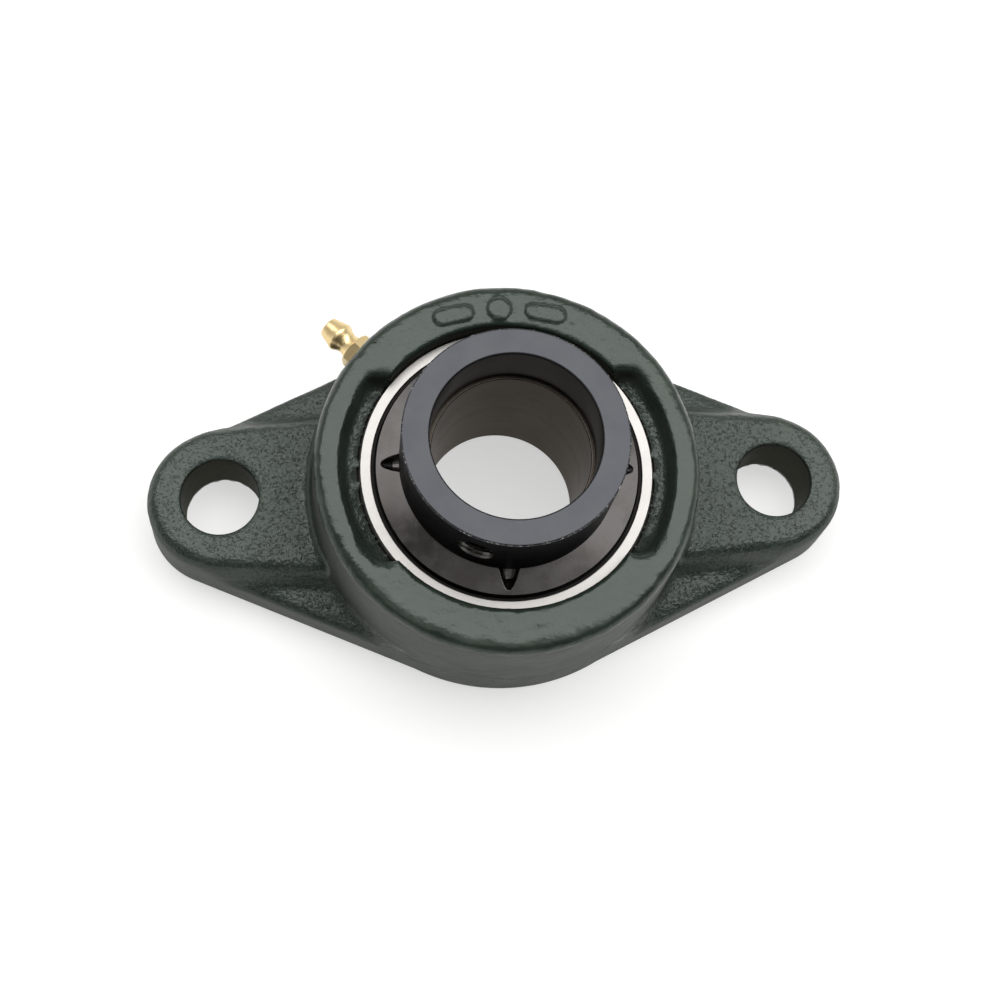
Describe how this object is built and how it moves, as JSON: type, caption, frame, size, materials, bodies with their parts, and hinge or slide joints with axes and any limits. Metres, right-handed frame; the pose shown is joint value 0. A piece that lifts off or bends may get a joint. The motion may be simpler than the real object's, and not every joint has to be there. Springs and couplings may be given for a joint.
{
  "type": "flange mount bearing",
  "caption": "Rhombus-flange cast bearing unit with a self-aligning ball insert, eccentric locking collar and grease nipple, for carrying a rotating shaft.",
  "frame": {"origin": "centre of the mounting face, on the shaft axis and midway between the two bolt holes", "axes": "+Z along the shaft axis away from the mounting face, +X along the line of the bolt holes, grease nipple towards -X and +Y"},
  "size_m": [0.148, 0.08, 0.0472],
  "materials": {
    "housing_paint": "dark slate-green gloss paint over sand-cast grain",
    "ring_steel": "ground bright",
    "ring_steel_inner": "satin, brown-grey",
    "ball_steel": "polished",
    "cage_steel": "pressed sheet",
    "slinger_steel": "dark satin",
    "seal_rubber": "moulded",
    "black_oxide": "black oxide, satin",
    "nipple_brass": "turned, bright"
  },
  "bodies": {
    "casting": {"housing": "housing_paint", "grease_nipple_body": "nipple_brass", "nipple_spring": "cage_steel"},
    "insert": {"outer_ring": "ring_steel", "front_seal_core": "slinger_steel", "front_seal_lip": "seal_rubber", "rear_seal_core": "slinger_steel", "rear_seal_lip": "seal_rubber"},
    "shaft_ring": {"inner_ring": "ring_steel_inner", "front_slinger": "slinger_steel", "rear_slinger": "slinger_steel"},
    "cage": {"cage_front_half": "cage_steel", "cage_rear_half": "cage_steel", "cage_rivets": "cage_steel"},
    "ball_1_body": {"ball_1": "ball_steel"},
    "ball_2_body": {"ball_2": "ball_steel"},
    "ball_3_body": {"ball_3": "ball_steel"},
    "ball_4_body": {"ball_4": "ball_steel"},
    "ball_5_body": {"ball_5": "ball_steel"},
    "ball_6_body": {"ball_6": "ball_steel"},
    "ball_7_body": {"ball_7": "ball_steel"},
    "ball_8_body": {"ball_8": "ball_steel"},
    "ball_9_body": {"ball_9": "ball_steel"},
    "collar": {"eccentric_collar": "black_oxide"},
    "screw": {"set_screw": "black_oxide"},
    "check_ball": {"nipple_check_ball": "ball_steel"}
  },
  "joints": [
    {"name": "bearing_swivel", "type": "hinge", "parent": "casting", "child": "insert", "pos_m": [0, 0, 0.018], "axis": [1, 0, 0], "range_deg": [-2, 2]},
    {"name": "shaft_spin", "type": "hinge", "parent": "insert", "child": "shaft_ring", "pos_m": [0, 0, 0.018], "axis": [0, 0, 1], "continuous": true},
    {"name": "cage_spin", "type": "hinge", "parent": "insert", "child": "cage", "pos_m": [0, 0, 0.018], "axis": [0, 0, 1], "continuous": true},
    {"name": "ball_1_spin", "type": "hinge", "parent": "cage", "child": "ball_1_body", "pos_m": [0.023, 0, 0.018], "axis": [0, 0, 1], "continuous": true},
    {"name": "ball_2_spin", "type": "hinge", "parent": "cage", "child": "ball_2_body", "pos_m": [0.01762, 0.01478, 0.018], "axis": [0, 0, 1], "continuous": true},
    {"name": "ball_3_spin", "type": "hinge", "parent": "cage", "child": "ball_3_body", "pos_m": [0.00399, 0.02265, 0.018], "axis": [0, 0, 1], "continuous": true},
    {"name": "ball_4_spin", "type": "hinge", "parent": "cage", "child": "ball_4_body", "pos_m": [-0.0115, 0.01992, 0.018], "axis": [0, 0, 1], "continuous": true},
    {"name": "ball_5_spin", "type": "hinge", "parent": "cage", "child": "ball_5_body", "pos_m": [-0.02161, 0.00787, 0.018], "axis": [0, 0, 1], "continuous": true},
    {"name": "ball_6_spin", "type": "hinge", "parent": "cage", "child": "ball_6_body", "pos_m": [-0.02161, -0.00787, 0.018], "axis": [0, 0, 1], "continuous": true},
    {"name": "ball_7_spin", "type": "hinge", "parent": "cage", "child": "ball_7_body", "pos_m": [-0.0115, -0.01992, 0.018], "axis": [0, 0, 1], "continuous": true},
    {"name": "ball_8_spin", "type": "hinge", "parent": "cage", "child": "ball_8_body", "pos_m": [0.00399, -0.02265, 0.018], "axis": [0, 0, 1], "continuous": true},
    {"name": "ball_9_spin", "type": "hinge", "parent": "cage", "child": "ball_9_body", "pos_m": [0.01762, -0.01478, 0.018], "axis": [0, 0, 1], "continuous": true},
    {"name": "collar_lock", "type": "hinge", "parent": "shaft_ring", "child": "collar", "pos_m": [0, 0, 0.039], "axis": [0, 0, 1], "range_deg": [-25, 25]},
    {"name": "set_screw_feed", "type": "slide", "parent": "collar", "child": "screw", "axis": [0.3843, 0.9232, 0], "range_m": [-0.0012, 0.0008]},
    {"name": "check_ball_lift", "type": "slide", "parent": "casting", "child": "check_ball", "axis": [-0.7009, 0.7133, 0], "range_m": [-0.0006, 0], "stiffness_N_per_m": 300, "springref_m": 0.0003, "deforming": ["nipple_spring"]}
  ],
  "couplings": [
    {"joint": "cage_spin", "follows": "shaft_spin", "ratio": 0.39647},
    {"joint": "ball_1_spin", "follows": "shaft_spin", "ratio": -2.3112},
    {"joint": "ball_2_spin", "follows": "shaft_spin", "ratio": -2.3112},
    {"joint": "ball_3_spin", "follows": "shaft_spin", "ratio": -2.3112},
    {"joint": "ball_4_spin", "follows": "shaft_spin", "ratio": -2.3112},
    {"joint": "ball_5_spin", "follows": "shaft_spin", "ratio": -2.3112},
    {"joint": "ball_6_spin", "follows": "shaft_spin", "ratio": -2.3112},
    {"joint": "ball_7_spin", "follows": "shaft_spin", "ratio": -2.3112},
    {"joint": "ball_8_spin", "follows": "shaft_spin", "ratio": -2.3112},
    {"joint": "ball_9_spin", "follows": "shaft_spin", "ratio": -2.3112}
  ]
}
